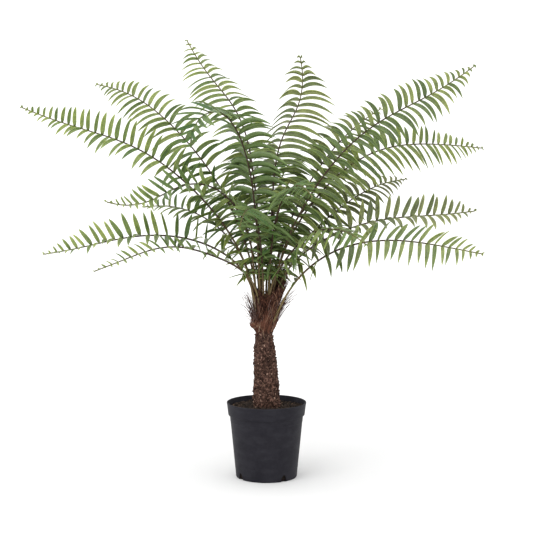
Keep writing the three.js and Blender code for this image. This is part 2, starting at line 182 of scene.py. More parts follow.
# ---------------------------------------------------------------- node trees
class NodeTree:
    """Adds nodes to a tree, with short calls."""

    def __init__(self, tree):
        self.tree = tree

    def feed(self, socket, value):
        """Links a socket to another one or sets its value; None leaves it alone."""
        if isinstance(value, bpy.types.NodeSocket):
            self.tree.links.new(value, socket)
        elif value is not None:
            socket.default_value = value

    def add(self, kind, *inputs, settings=None, output=None, **named):
        """Adds a node. Its inputs are fed in order, then by name."""
        node = self.tree.nodes.new(kind)
        for key, value in (settings or {}).items():
            setattr(node, key, value)
        shown = [socket for socket in node.inputs if socket.enabled]
        by_name = {socket.name.replace(" ", "_"): socket for socket in shown}
        for socket, value in zip(shown, inputs):
            self.feed(socket, value)
        for key, value in named.items():
            self.feed(by_name[key], value)
        if output is None:
            return next(socket for socket in node.outputs if socket.enabled)
        return node.outputs[output]

    def math(self, operation, *values):
        return self.add("ShaderNodeMath", *values, settings={"operation": operation})

    def remap(self, value, low, high, to_low=0.0, to_high=1.0, smooth=False):
        kind = {"interpolation_type": "SMOOTHSTEP" if smooth else "LINEAR"}
        return self.add("ShaderNodeMapRange", value, low, high, to_low, to_high, settings=kind)


# ---------------------------------------------------------------- geometry trees
class GeometryTree(NodeTree):
    """A geometry node tree under construction, whose sizes come in as named inputs."""

    KINDS = {
        "float": "NodeSocketFloat",
        "int": "NodeSocketInt",
        "object": "NodeSocketObject",
        "material": "NodeSocketMaterial",
    }

    def __init__(self, name, **inputs):
        super().__init__(bpy.data.node_groups.new(name, "GeometryNodeTree"))
        face = self.tree.interface
        face.new_socket("Geometry", in_out="INPUT", socket_type="NodeSocketGeometry")
        for label, kind in inputs.items():
            face.new_socket(label, in_out="INPUT", socket_type=self.KINDS[kind])
        face.new_socket("Geometry", in_out="OUTPUT", socket_type="NodeSocketGeometry")
        self.source = self.tree.nodes.new("NodeGroupInput")

    def given(self, label):
        return self.source.outputs[label]

    def vector(self, operation, *values):
        return self.add("ShaderNodeVectorMath", *values, settings={"operation": operation})

    def scaled(self, vector, factor):
        node = self.tree.nodes.new("ShaderNodeVectorMath")
        node.operation = "SCALE"
        self.feed(node.inputs["Vector"], vector)
        self.feed(node.inputs["Scale"], factor)
        return node.outputs["Vector"]

    def attribute(self, name, kind="FLOAT"):
        return self.add("GeometryNodeInputNamedAttribute", name, settings={"data_type": kind})

    def store(self, geometry, name, value, domain="POINT"):
        kind = {"data_type": "FLOAT", "domain": domain}
        return self.add(
            "GeometryNodeStoreNamedAttribute", geometry, None, name, value, settings=kind
        )

    def chance(self, low, high, seed, salt):
        """A steady random number for each element, different for each salt."""
        salted = self.math("ADD", seed, salt)
        return self.add(
            "FunctionNodeRandomValue",
            Min=low,
            Max=high,
            Seed=salted,
            settings={"data_type": "FLOAT"},
        )

    def join(self, *geometries):
        node = self.tree.nodes.new("GeometryNodeJoinGeometry")
        for geometry in reversed(geometries):
            self.tree.links.new(geometry, node.inputs[0])
        return node.outputs[0]

    def finish(self, geometry):
        out = self.tree.nodes.new("NodeGroupOutput")
        self.tree.links.new(geometry, out.inputs[0])
        return self


def grow(name, base, tree, **values):
    """Runs a tree on a base mesh and returns the result as a plain mesh object."""
    holder = bpy.data.objects.new(name + "_base", base)
    bpy.context.scene.collection.objects.link(holder)
    modifier = holder.modifiers.new("Grow", "NODES")
    modifier.node_group = tree.tree
    for item in tree.tree.interface.items_tree:
        if item.in_out == "INPUT" and item.name in values:
            modifier[item.identifier] = values[item.name]
    bpy.context.view_layer.update()
    seen = holder.evaluated_get(bpy.context.evaluated_depsgraph_get())
    mesh = bpy.data.meshes.new_from_object(seen)
    mesh.name = name
    bpy.data.objects.remove(holder)
    return place(name, mesh)


def place(name, mesh):
    piece = bpy.data.objects.new(name, mesh)
    bpy.context.scene.collection.objects.link(piece)
    return piece


def mesh_from(name, vertices, faces=(), edges=(), **attributes):
    """Makes a mesh, with float attributes on its points."""
    mesh = bpy.data.meshes.new(name)
    mesh.from_pydata([tuple(v) for v in vertices], edges, faces)
    for label, values in attributes.items():
        layer = mesh.attributes.new(label, "FLOAT", "POINT")
        layer.data.foreach_set("value", np.asarray(values, dtype=np.float32))
    mesh.update()
    return mesh


def smooth_shade(mesh):
    mesh.polygons.foreach_set("use_smooth", [True] * len(mesh.polygons))
    return mesh


# ---------------------------------------------------------------- shader groups
class ShaderTree(NodeTree):
    """Adds shader nodes to a material or a node group, with short calls."""

    def mix(self, factor, a, b, blend="MIX"):
        node = self.tree.nodes.new("ShaderNodeMix")
        node.data_type = "RGBA"
        node.blend_type = blend
        sockets = [s for s in node.inputs if s.enabled]
        for socket, value in zip(sockets, (factor, a, b)):
            self.feed(socket, value)
        return next(s for s in node.outputs if s.enabled)

    def attribute(self, name):
        return self.add("ShaderNodeAttribute", settings={"attribute_name": name}, output=2)

    def place(self):
        return self.add("ShaderNodeTexCoord", output=3)

    def stretch(self, vector, scale):
        return self.add("ShaderNodeMapping", Vector=vector, Scale=scale)

    def noise(self, vector, scale, detail=3.0, roughness=0.55):
        return self.add(
            "ShaderNodeTexNoise", Vector=vector, Scale=scale, Detail=detail, Roughness=roughness
        )


def rgb(r, g, b):
    """A colour from its 8-bit screen values."""

    def linear(v):
        v /= 255
        return v / 12.92 if v <= 0.04045 else ((v + 0.055) / 1.055) ** 2.4

    return (linear(r), linear(g), linear(b), 1.0)


def shader_group(name, inputs, outputs):
    group = bpy.data.node_groups.new(name, "ShaderNodeTree")
    kinds = {"float": "NodeSocketFloat", "color": "NodeSocketColor", "vector": "NodeSocketVector"}
    for label, kind in inputs.items():
        group.interface.new_socket(label, in_out="INPUT", socket_type=kinds[kind])
    for label, kind in outputs.items():
        group.interface.new_socket(label, in_out="OUTPUT", socket_type=kinds[kind])
    source = group.nodes.new("NodeGroupInput")
    sink = group.nodes.new("NodeGroupOutput")
    return group, ShaderTree(group), source.outputs, sink.inputs


def material(name, roughness=0.6, **settings):
    """A material with a Principled shader; returns it, its tree and the shader's inputs."""
    made = bpy.data.materials.new(name)
    made.use_nodes = True
    tree = made.node_tree
    shader = tree.nodes["Principled BSDF"]
    shader.inputs["Roughness"].default_value = roughness
    for key, value in settings.items():
        shader.inputs[key.replace("_", " ")].default_value = value
    return made, ShaderTree(tree), shader.inputs


def use_group(shade, group, **values):
    node = shade.tree.nodes.new("ShaderNodeGroup")
    node.node_tree = group
    for key, value in values.items():
        shade.feed(node.inputs[key.replace("_", " ")], value)
    return node.outputs


def mottle_group():
    """Broad and fine mottling between two colours, with a bump height to match."""
    inputs = {"Dark": "color", "Light": "color", "Scale": "float", "Strength": "float"}
    group, shade, given, out = shader_group("Mottle", inputs, {"Color": "color", "Height": "float"})
    place_ = shade.place()
    broad = shade.noise(place_, given["Scale"], 4.0)
    fine_scale = shade.math("MULTIPLY", given["Scale"], 6.0)
    fine = shade.noise(place_, fine_scale, 3.0)
    blend = shade.math("ADD", shade.math("MULTIPLY", broad, 0.6), shade.math("MULTIPLY", fine, 0.4))
    spread = shade.remap(blend, 0.36, 0.64)
    factor = shade.math("MULTIPLY", spread, given["Strength"])
    shade.tree.links.new(shade.mix(factor, given["Dark"], given["Light"]), out["Color"])
    shade.tree.links.new(blend, out["Height"])
    return group


def fibre_group():
    """Colour of a matted fibre: it varies from strand to strand, with a fine grain."""
    inputs = {"Dark": "color", "Light": "color", "Tan": "color", "Tan Share": "float"}
    group, shade, given, out = shader_group(
        "Fibre tint", inputs, {"Color": "color", "Height": "float"}
    )
    tint = shade.attribute("tint")
    body = shade.mix(tint, given["Dark"], given["Light"])
    low = shade.math("SUBTRACT", 1.0, given["Tan Share"])
    pale = shade.remap(tint, low, 1.0)
    grain = shade.noise(shade.place(), 900.0, 2.0)
    shaded = shade.mix(shade.remap(grain, 0.3, 0.7, 0.0, 0.5), body, given["Dark"])
    shade.tree.links.new(shade.mix(pale, shaded, given["Tan"]), out["Color"])
    shade.tree.links.new(grain, out["Height"])
    return group


def bump(shade, inputs, height, strength, distance):
    normal = shade.add("ShaderNodeBump", Strength=strength, Distance=distance, Height=height)
    shade.tree.links.new(normal, inputs["Normal"])


MOTTLE = mottle_group()
FIBRE = fibre_group()


def leaf_finish():
    """Pinnae: dark green down the middle, yellow-green at the margin and on young tips; part leaf
    colour, part painted highlight and shade.
    """
    made, shade, inputs = material("leaf_green", 0.42, Specular_IOR_Level=0.3)
    across = shade.math("ABSOLUTE", shade.attribute("blade_s"))
    along = shade.attribute("blade_t")
    place_along = shade.attribute("leaf_u")
    tint = shade.attribute("leaf_tint")
    age_and_shade = shade.attribute("age_and_shade")
    under = shade.attribute("under")
    # Lighter for a higher age_and_shade, towards each frond's tip and on its first pinnae: partly
    # the light green of young leaves, partly painted shade deep in the crown and painted backlight
    # on the outer tips.
    youth_and_light = shade.math(
        "ADD", shade.math("MULTIPLY", age_and_shade, 0.55), shade.math("MULTIPLY", place_along, 0.55)
    )
    youth_and_light = shade.math("ADD", youth_and_light, shade.remap(tint, 0, 1, -0.3, 0.3))
    youth_and_light = shade.math("ADD", youth_and_light, shade.remap(place_along, 0.0, 0.3, 0.3, 0.0))
    fresh_and_lit = shade.remap(youth_and_light, 0.15, 1.0, smooth=True)
    brown = shade.remap(shade.attribute("brown"), 0.0, 1.0)
    body = shade.mix(fresh_and_lit, rgb(32, 58, 16), rgb(68, 88, 30))
    body = shade.mix(brown, body, rgb(46, 46, 27))
    deep = shade.remap(shade.attribute("brown"), 0.0, -1.0)
    body = shade.mix(deep, body, rgb(14, 52, 10))
    # The rim colour lightens the margin, the pinna tip and the midvein: partly the leaf's own paler
    # edge and vein, partly painted highlight and painted backlight.
    rim = shade.mix(fresh_and_lit, rgb(98, 126, 50), rgb(180, 188, 104))
    rim = shade.mix(shade.math("MULTIPLY", brown, 0.3), rim, rgb(146, 144, 90))
    rim = shade.mix(shade.math("MULTIPLY", deep, 0.6), rim, rgb(66, 112, 40))
    margin = shade.remap(across, 0.48, 1.0, 0.0, 0.65, smooth=True)
    tip = shade.remap(along, 0.7, 1.0, 0.0, 0.5)
    edge = shade.math("MAXIMUM", margin, tip)
    mottled = use_group(shade, MOTTLE, Dark=body, Light=rim, Scale=55.0, Strength=0.35)
    colour = shade.mix(edge, mottled["Color"], rim)
    vein = shade.remap(across, 0.0, 0.10, 0.45, 0.0)
    colour = shade.mix(vein, colour, rim)
    root = shade.remap(along, 0.0, 0.16, 0.4, 0.0)
    colour = shade.mix(root, colour, rgb(46, 44, 24))
    # Undersides are paler: partly the leaf's own paler back, partly painted light standing in for
    # light shining through the thin leaf.
    pale = shade.mix(0.35, colour, rgb(110, 122, 74))
    colour = shade.mix(under, colour, pale)
    shade.tree.links.new(colour, inputs["Base Color"])
    slant = shade.math(
        "SUBTRACT", shade.math("MULTIPLY", along, 95.0), shade.math("MULTIPLY", across, 6.0)
    )
    ribs = shade.math("SINE", slant)
    height = shade.math("ADD", shade.math("MULTIPLY", ribs, 0.4), mottled["Height"])
    bump(shade, inputs, height, 0.35, 0.0004)
    return made


def stem_finish():
    """Stipe and midrib: brown and scaly at the foot, dark in the middle, green at the tip."""
    made, shade, inputs = material("leaf_stem", 0.6, Specular_IOR_Level=0.15)
    along = shade.attribute("along")
    foot = shade.remap(along, 0.10, 0.42, smooth=True)
    tip = shade.remap(along, 0.70, 1.0, smooth=True)
    lower = shade.mix(foot, rgb(106, 92, 60), rgb(56, 42, 33))
    colour = shade.mix(tip, lower, rgb(92, 92, 52))
    mottled = use_group(
        shade, MOTTLE, Dark=rgb(44, 30, 22), Light=colour, Scale=120.0, Strength=1.0
    )
    shade.tree.links.new(shade.mix(0.65, mottled["Color"], colour), inputs["Base Color"])
    bump(shade, inputs, mottled["Height"], 0.4, 0.0004)
    return made


def fibre_finish(name, dark, light, tan, tan_share):
    made, shade, inputs = material(name, 0.85, Specular_IOR_Level=0.1)
    tinted = use_group(shade, FIBRE, Dark=dark, Light=light, Tan=tan, Tan_Share=tan_share)
    shade.tree.links.new(tinted["Color"], inputs["Base Color"])
    bump(shade, inputs, tinted["Height"], 0.5, 0.0003)
    return made


def bark_finish():
    """Matted roots of the trunk's own surface, under the loose ones."""
    made, shade, inputs = material("root_mat", 0.9, Specular_IOR_Level=0.1)
    mottled = use_group(
        shade, MOTTLE, Dark=rgb(28, 18, 14), Light=rgb(98, 75, 64), Scale=110.0, Strength=0.9
    )
    # Darker away from the middle of each grain, where the bump sinks: painted shade in the hollows
    # between the matted roots.
    grains = shade.add("ShaderNodeTexVoronoi", Vector=shade.place(), Scale=420.0)
    shaded = shade.remap(grains, 0.0, 0.6, 0.0, 0.6)
    colour = shade.mix(shaded, mottled["Color"], rgb(40, 27, 21))
    shade.tree.links.new(colour, inputs["Base Color"])
    height = shade.math("SUBTRACT", mottled["Height"], shade.math("MULTIPLY", grains, 0.8))
    bump(shade, inputs, height, 0.8, 0.0015)
    return made


def soil_finish():
    made, shade, inputs = material("compost", 0.95, Specular_IOR_Level=0.1)
    mottled = use_group(
        shade, MOTTLE, Dark=rgb(12, 9, 8), Light=rgb(44, 35, 29), Scale=160.0, Strength=0.9
    )
    shade.tree.links.new(mottled["Color"], inputs["Base Color"])
    bump(shade, inputs, mottled["Height"], 0.9, 0.0012)
    return made


def pot_finish():
    """Moulded charcoal plastic: a fine stipple, faint rings from the mould and a little dust."""
    made, shade, inputs = material("pot_plastic", 0.5, Specular_IOR_Level=0.12)
    place_ = shade.place()
    dust = shade.noise(shade.stretch(place_, (1.0, 1.0, 2.2)), 28.0, 5.0)
    speck = shade.noise(place_, 700.0, 2.0)
    dusty = shade.remap(dust, 0.45, 0.75, 0.0, 0.35)
    mottled = use_group(
        shade, MOTTLE, Dark=rgb(24, 23, 29), Light=rgb(33, 32, 38), Scale=24.0, Strength=0.8
    )
    colour = shade.mix(dusty, mottled["Color"], rgb(50, 50, 55))
    shade.tree.links.new(colour, inputs["Base Color"])
    height_z = shade.add("ShaderNodeSeparateXYZ", place_, output=2)
    rings = shade.math("SINE", shade.math("MULTIPLY", height_z, 2600.0))
    rough = shade.remap(speck, 0.3, 0.7, 0.48, 0.66)
    shade.tree.links.new(rough, inputs["Roughness"])
    height = shade.math("ADD", shade.math("MULTIPLY", rings, 0.12), speck)
    bump(shade, inputs, height, 0.25, 0.0004)
    return made


LEAF = leaf_finish()
STEM = stem_finish()
BARK = bark_finish()
SOIL = soil_finish()
POT = pot_finish()
ROOT = fibre_finish("loose_root", rgb(34, 22, 17), rgb(88, 64, 52), rgb(150, 122, 100), 0.08)
CHAFF = fibre_finish("sheath_fibre", rgb(28, 14, 10), rgb(118, 78, 62), rgb(150, 120, 98), 0.05)
TAN = fibre_finish("tan_strand", rgb(92, 70, 54), rgb(156, 132, 110), rgb(186, 168, 148), 0.20)
CRUMB = fibre_finish("compost_crumb", rgb(14, 11, 9), rgb(72, 60, 52), rgb(120, 98, 78), 0.05)
MAT_CRUMB = fibre_finish("root_crumb", rgb(32, 21, 17), rgb(122, 92, 80), rgb(164, 136, 120), 0.05)
HAIR = fibre_finish("loose_hair", rgb(70, 50, 44), rgb(140, 120, 116), rgb(176, 160, 156), 0.25)


# ---------------------------------------------------------------- fronds
def spline(values, s):
    """A smooth run through evenly spaced values."""
    last = len(values) - 1
    i = min(int(s * last), last - 1)
    w = s * last - i
    before, a, b, after = values[max(i - 1, 0)], values[i], values[i + 1], values[min(i + 2, last)]
    slope_a, slope_b = (b - before) / 2, (after - a) / 2
    square, cube = w * w, w * w * w
    return (
        (2 * a - 2 * b + slope_a + slope_b) * cube
        + (3 * b - 3 * a - 2 * slope_a - slope_b) * square
        + slope_a * w
        + a
    )


def whorl_radius(whorl):
    return STIPE_SPACING * (0.78 + whorl)


def stipe_slots():
    """Shares each whorl's circle evenly among its fronds, in the order of their azimuths."""
    slots = {}
    for whorl in range(WHORLS):
        ring = sorted((f for f in FRONDS if f[1] == whorl), key=lambda f: f[0])
        share = 360 / len(ring)
        phase = sum(f[0] - share * k for k, f in enumerate(ring)) / len(ring)
        slots.update({f: phase + share * k for k, f in enumerate(ring)})
    return slots


def frond_midrib(name, frond, slot):
    """The frond's centre line as a mesh of edges that carries its upward side."""
    azimuth, whorl, length, rise, sweep, roll = frond[:6]
    stipe = LOW_STIPE_ANGLE if azimuth == LOW_STIPE_AZIMUTH else STIPE_ANGLE
    steps = 96

    def heading(s):
        curved = max(s * length - STIPE_STRAIGHT, 0) / (length - STIPE_STRAIGHT)
        e = math.radians(spline((stipe, *rise), curved))
        a = math.radians(azimuth + sweep * s * s)
        return Vector((math.cos(e) * math.cos(a), math.cos(e) * math.sin(a), math.sin(e)))

    slot_angle = math.radians(slot)
    radius = whorl_radius(whorl)
    x = trunk_shift(TRUNK_TOP) + radius * math.cos(slot_angle)
    points = [Vector((x, radius * math.sin(slot_angle), STIPE_START))]
    for i in range(steps):
        points.append(points[-1] + heading((i + 0.5) / steps) * (length / steps))
    ups = []
    for i in range(steps + 1):
        ahead = heading(i / steps)
        side = Vector((-ahead.y, ahead.x, 0)).normalized()
        tilt = math.radians(roll) * (1 + ROOT_ROLL * max(0, 1 - 2 * i / steps))
        turned = math.cos(tilt) * side + math.sin(tilt) * ahead.cross(side)
        ups.append(ahead.cross(turned))
    edges = [(i, i + 1) for i in range(steps)]
    mesh = mesh_from(name, points, edges=edges, along=[i / steps for i in range(steps + 1)])
    layer = mesh.attributes.new("up", "FLOAT_VECTOR", "POINT")
    layer.data.foreach_set("vector", [c for up in ups for c in up])
    return mesh


def pinna_blade(name, hand, most_bow, steps=11):
    """One pinna a metre long and a metre wide: sickle-shaped, folded along its vein, and closed."""
    vertices, faces, along, across = [], [], [], []
    crest = ((-1.0, 0.20), (-0.5, 0.20), (0.0, 0.0), (0.5, 0.20), (1.0, 0.20), (0.0, -0.07))
    for i in range(steps):
        t = i / steps
        half = 0.5 * lerp(0.42, 1, smoothstep(7 * t)) * (1 - max(0, (t - 0.25) / 0.75) ** 2.6)
        for s, z in crest:
            bow = hand * most_bow * (t - t * t)
            vertices.append((t, bow + s * half, z * (0.35 + 0.65 * half * 2)))
            along.append(t)
            across.append(s)
    vertices.append((1.0, 0.0, 0.02))
    along.append(1.0)
    across.append(0.0)
    ring = len(crest)
    for i in range(steps - 1):
        for k in range(ring):
            a, b = i * ring + k, i * ring + (k + 1) % ring
            faces.append((a, a + ring, b + ring, b))
    tip = len(vertices) - 1
    last = (steps - 1) * ring
    for k in range(ring):
        faces.append((last + k, tip, last + (k + 1) % ring))
    faces.append(tuple(range(ring)))
    mesh = mesh_from(name, vertices, faces, blade_t=along, blade_s=across)
    under = mesh.attributes.new("under", "FLOAT", "FACE")
    low = [
        1.0 if any(v % ring == 5 and v != tip for v in p.vertices) else 0.0 for p in mesh.polygons
    ]
    under.data.foreach_set("value", low)
    return smooth_shade(mesh)


def frond_tree():
    """Sets pairs of pinnae along a midrib and gives the midrib its tapering stem."""
    tree = GeometryTree(
        "Frond",
        **{
            "Left Blade": "object",
            "Right Blade": "object",
            "Pairs": "int",
            "Bare Stem": "float",
            "Crowding": "float",
            "Blade Length": "float",
            "Blade Width": "float",
            "Stem Radius": "float",
            "Tip Radius": "float",
            "Lift": "float",
            "Sag": "float",
            "Age": "float",
            "Brown": "float",
            "Taper": "float",
            "Wildness": "float",
            "Seed": "int",
            "Blade Finish": "material",
            "Stem Finish": "material",
        },
    )
    midrib = tree.add("GeometryNodeMeshToCurve", tree.given("Geometry"))
    taper = tree.remap(
        tree.attribute("along"),
        0.1,
        1.0,
        tree.given("Stem Radius"),
        tree.given("Tip Radius"),
        smooth=True,
    )
    ring = tree.add("GeometryNodeCurvePrimitiveCircle", Resolution=8, Radius=1.0)
    stem = tree.add("GeometryNodeCurveToMesh", midrib, ring, taper, True)
    stem = tree.add("GeometryNodeSetShadeSmooth", stem)
    stem = tree.add("GeometryNodeSetMaterial", stem, Material=tree.given("Stem Finish"))

    points = tree.add("GeometryNodePoints", Count=tree.given("Pairs"))
    index = tree.add("GeometryNodeInputIndex")
    last = tree.math("SUBTRACT", tree.given("Pairs"), 1.0)
    u = tree.math("DIVIDE", index, last)
    crowd = tree.math("MULTIPLY_ADD", tree.math("SUBTRACT", 1.0, u), tree.given("Crowding"), 1.0)
    spread = tree.math("MULTIPLY", u, crowd)
    leafy = tree.math("SUBTRACT", 1.0, tree.given("Bare Stem"))
    where = tree.math("MULTIPLY_ADD", spread, leafy, tree.given("Bare Stem"))
    sample = tree.tree.nodes.new("GeometryNodeSampleCurve")
    sample.mode = "FACTOR"
    sample.data_type = "FLOAT_VECTOR"
    tree.feed(sample.inputs["Curves"], midrib)
    tree.feed(sample.inputs["Value"], tree.attribute("up", "FLOAT_VECTOR"))
    tree.feed(sample.inputs["Factor"], where)
    up, ahead = sample.outputs["Value"], sample.outputs["Tangent"]
    side = tree.vector("CROSS_PRODUCT", up, ahead)
    points = tree.add("GeometryNodeSetPosition", points, Position=sample.outputs["Position"])
    seed = tree.given("Seed")

    wild = tree.math("MULTIPLY", tree.remap(u, 0.0, 0.45, 2.0, 0.45), tree.given("Wildness"))

    blades = []
    for hand, label, salt in ((1.0, "Left Blade", 0), (-1.0, "Right Blade", 50)):
        lift = tree.math(
            "MULTIPLY_ADD", tree.chance(-0.30, 0.30, seed, salt + 1), wild, tree.given("Lift")
        )
        lean = tree.remap(u, 0.0, 1.0, 0.10, 0.30)
        lean = tree.math("MULTIPLY_ADD", tree.chance(-0.22, 0.22, seed, salt + 2), wild, lean)
        out = tree.vector(
            "ADD",
            tree.scaled(side, tree.math("MULTIPLY", tree.math("COSINE", lift), hand)),
            tree.scaled(up, tree.math("SINE", lift)),
        )
        point_way = tree.vector(
            "ADD",
            tree.scaled(out, tree.math("COSINE", lean)),
            tree.scaled(ahead, tree.math("SINE", lean)),
        )
        turn = tree.add(
            "FunctionNodeAxesToRotation",
            point_way,
            up,
            settings={"primary_axis": "X", "secondary_axis": "Z"},
        )
        twist = tree.math("MULTIPLY", tree.chance(-0.9, 0.9, seed, salt + 3), wild)
        twist = tree.add("ShaderNodeCombineXYZ", X=twist)
        twist = tree.add("FunctionNodeEulerToRotation", twist)
        turn = tree.add(
            "FunctionNodeRotateRotation", turn, twist, settings={"rotation_space": "LOCAL"}
        )
        rise = tree.remap(u, 0.0, 0.25, 0.6, 1.0)
        fade = tree.math("POWER", tree.remap(u, 0.45, 1.0, 0.0, 1.0), tree.given("Taper"))
        share = tree.math("MULTIPLY", rise, tree.math("SUBTRACT", 1.0, fade))
        share = tree.math("MAXIMUM", share, 0.1)
        share = tree.math("MULTIPLY", share, tree.chance(0.90, 1.04, seed, salt + 4))
        reach = tree.math("MULTIPLY", share, tree.given("Blade Length"))
        width = tree.math(
            "MULTIPLY", tree.remap(share, 0.0, 1.0, 0.38, 1.0), tree.given("Blade Width")
        )
        width = tree.math("MULTIPLY", width, tree.chance(0.82, 1.12, seed, salt + 6))
        size = tree.add("ShaderNodeCombineXYZ", reach, width, width)
        row = tree.store(points, "reach", reach)
        row = tree.store(row, "leaf_u", u)
        row = tree.store(row, "leaf_tint", tree.chance(0.0, 1.0, seed, salt + 5))
        info = tree.tree.nodes.new("GeometryNodeObjectInfo")
        tree.feed(info.inputs["Object"], tree.given(label))
        blade = info.outputs["Geometry"]
        blades.append(
            tree.add("GeometryNodeInstanceOnPoints", row, Instance=blade, Rotation=turn, Scale=size)
        )
    leaves = tree.add("GeometryNodeRealizeInstances", tree.join(*blades))
    t = tree.attribute("blade_t")
    drop = tree.math("MULTIPLY", tree.math("MULTIPLY", t, t), tree.attribute("reach"))
    drop = tree.math("MULTIPLY", drop, tree.math("MULTIPLY", tree.given("Sag"), -1.0))
    leaves = tree.add(
        "GeometryNodeSetPosition", leaves, Offset=tree.add("ShaderNodeCombineXYZ", Z=drop)
    )
    leaves = tree.add("GeometryNodeSetMaterial", leaves, Material=tree.given("Blade Finish"))
    grown = tree.add("GeometryNodeRealizeInstances", tree.join(stem, leaves))
    grown = tree.store(grown, "brown", tree.given("Brown"))
    return tree.finish(tree.store(grown, "age_and_shade", tree.given("Age")))


def make_fronds():
    tree = frond_tree()
    slots = stipe_slots()
    for i, frond in enumerate(FRONDS):
        length, lift, sag, age_and_shade = frond[2], frond[6], frond[7], frond[8]
        name = f"frond_{i + 1:02d}"
        bare = min(STIPE_BARE, 0.3 * length)
        taper, wildness, pinna_share, bow, brown = HABITS.get(i + 1, USUAL_HABIT)
        left = place("left_blade", pinna_blade("left_blade", -1, bow))
        right = place("right_blade", pinna_blade("right_blade", 1, bow))
        spacing = (PINNA_SPACING_LOW + PINNA_SPACING_TIP) / 2
        piece = grow(
            "fern_" + name,
            frond_midrib(name + "_midrib", frond, slots[frond]),
            tree,
            **{
                "Left Blade": left,
                "Right Blade": right,
                "Pairs": int((length - bare) / spacing),
                "Bare Stem": (bare + PINNA_WIDTH) / length,
                "Crowding": 0.3,
                "Blade Length": PINNA_LENGTH * min(1, 0.4 + length) * pinna_share,
                "Blade Width": PINNA_WIDTH * pinna_share,
                "Stem Radius": STIPE_DIAMETER / 2,
                "Tip Radius": TIP_DIAMETER / 2,
                "Lift": math.radians(lift) + 0.6 * (sag + EXTRA_SAG),
                "Sag": sag + EXTRA_SAG,
                "Age": age_and_shade,
                "Brown": brown,
                "Taper": taper,
                "Wildness": wildness,
                "Seed": 100 + i,
                "Blade Finish": LEAF,
                "Stem Finish": STEM,
            },
        )
        add_piece(piece, "leaf", name)
        bpy.data.objects.remove(left)
        bpy.data.objects.remove(right)


# ---------------------------------------------------------------- turned shapes
def turned(name, profile, segments, wobble=None):
    """Turns a profile that starts and ends on the axis about +Z. wobble moves each point."""
    wobble = wobble or (lambda angle, r, z: (r, z))
    inner = profile[1:-1]
    vertices, faces = [], []
    for r, z in inner:
        for k in range(segments):
            angle = 2 * math.pi * k / segments
            radius, height = wobble(angle, r, z)
            vertices.append((radius * math.cos(angle), radius * math.sin(angle), height))
    for i in range(len(inner) - 1):
        for k in range(segments):
            a, b = i * segments + k, i * segments + (k + 1) % segments
            faces.append((a, b, b + segments, a + segments))
    foot, head = len(vertices), len(vertices) + 1
    vertices += [(0, 0, profile[0][1]), (0, 0, profile[-1][1])]
    last = (len(inner) - 1) * segments
    for k in range(segments):
        after = (k + 1) % segments
        faces.append((after, k, foot))
        faces.append((last + k, last + after, head))
    return mesh_from(name, vertices, faces)


def rounded(corners, steps=5):
    """A profile whose corners (r, z, fillet) are rounded off."""
    points = []
    for i, (r, z, fillet) in enumerate(corners):
        if not fillet:
            points.append((r, z))
            continue
        here = Vector((r, z))
        before = (Vector(corners[i - 1][:2]) - here).normalized()
        after = (Vector(corners[i + 1][:2]) - here).normalized()
        half = before.angle(after) / 2
        reach = fillet / math.tan(half)
        start, end = here + before * reach, here + after * reach
        for step in range(steps + 1):
            t = step / steps
            curved = start * (1 - t) ** 2 + here * 2 * t * (1 - t) + end * t * t
            points.append(tuple(curved))
    return points


# ---------------------------------------------------------------- pot
def make_pot():
    band = POT_HEIGHT - RIM_BAND_HEIGHT
    step = band - 0.014
    top = POT_RIM_RADIUS
    low_band = POT_BODY_TOP_RADIUS + RIM_BAND_STEP
    corners = [
        (0, 0.0012, 0),
        (POT_BASE_RADIUS - 0.014, 0.0012, 0.001),
        (POT_BASE_RADIUS - 0.012, 0, 0.001),
        (POT_BASE_RADIUS, 0, 0.003),
        (lerp(POT_BASE_RADIUS, POT_BODY_TOP_RADIUS, step / band), step, 0.0003),
        (lerp(POT_BASE_RADIUS, POT_BODY_TOP_RADIUS, step / band) + 0.0005, step + 0.0004, 0.0003),
        (POT_BODY_TOP_RADIUS, band, 0.0012),
        (low_band, band + 0.0002, 0.0012),
        (top - 0.0006, POT_HEIGHT - 0.004, 0.0005),
        (top, POT_HEIGHT - 0.0032, 0.0005),
        (top, POT_HEIGHT, 0.0009),
        (top - POT_WALL, POT_HEIGHT, 0.0009),
        (low_band - POT_WALL, band + POT_WALL, 0.0012),
        (POT_BODY_TOP_RADIUS - POT_WALL, band + POT_WALL - 0.0002, 0.0012),
        (POT_BASE_RADIUS - POT_WALL, POT_WALL, 0.001),
        (0, POT_WALL, 0),
    ]
    body = place("pot_body", turned("pot_body", rounded(corners), 144))
    cutters = []
    for k in range(DRAIN_COUNT):
        angle = DRAIN_FIRST + 2 * math.pi * k / DRAIN_COUNT
        spot = (POT_BASE_RADIUS * math.cos(angle), POT_BASE_RADIUS * math.sin(angle), 0)
        bpy.ops.mesh.primitive_cylinder_add(
            vertices=28,
            radius=0.5,
            depth=2 * DRAIN_INSET,
            location=spot,
            rotation=(0, math.pi / 2, angle),
        )
        cutter = bpy.context.object
        cutter.scale = (2 * DRAIN_HEIGHT, DRAIN_WIDTH, 1)
        cutters.append(cutter)
        cut = body.modifiers.new("Drain", "BOOLEAN")
        cut.object = cutter
        cut.solver = "EXACT"
    bpy.context.view_layer.update()
    seen = body.evaluated_get(bpy.context.evaluated_depsgraph_get())
    mesh = smooth_shade(bpy.data.meshes.new_from_object(seen))
    for thing in (body, *cutters):
        bpy.data.objects.remove(thing)
    mesh.set_sharp_from_angle(angle=math.radians(38))
    mesh.materials.clear()
    mesh.materials.append(POT)
    add_piece(place("nursery_pot", mesh), "pot", "pot")


def add_piece(piece, slot, *nodes):
    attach(piece, "root")
    if nodes:
        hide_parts(*nodes)


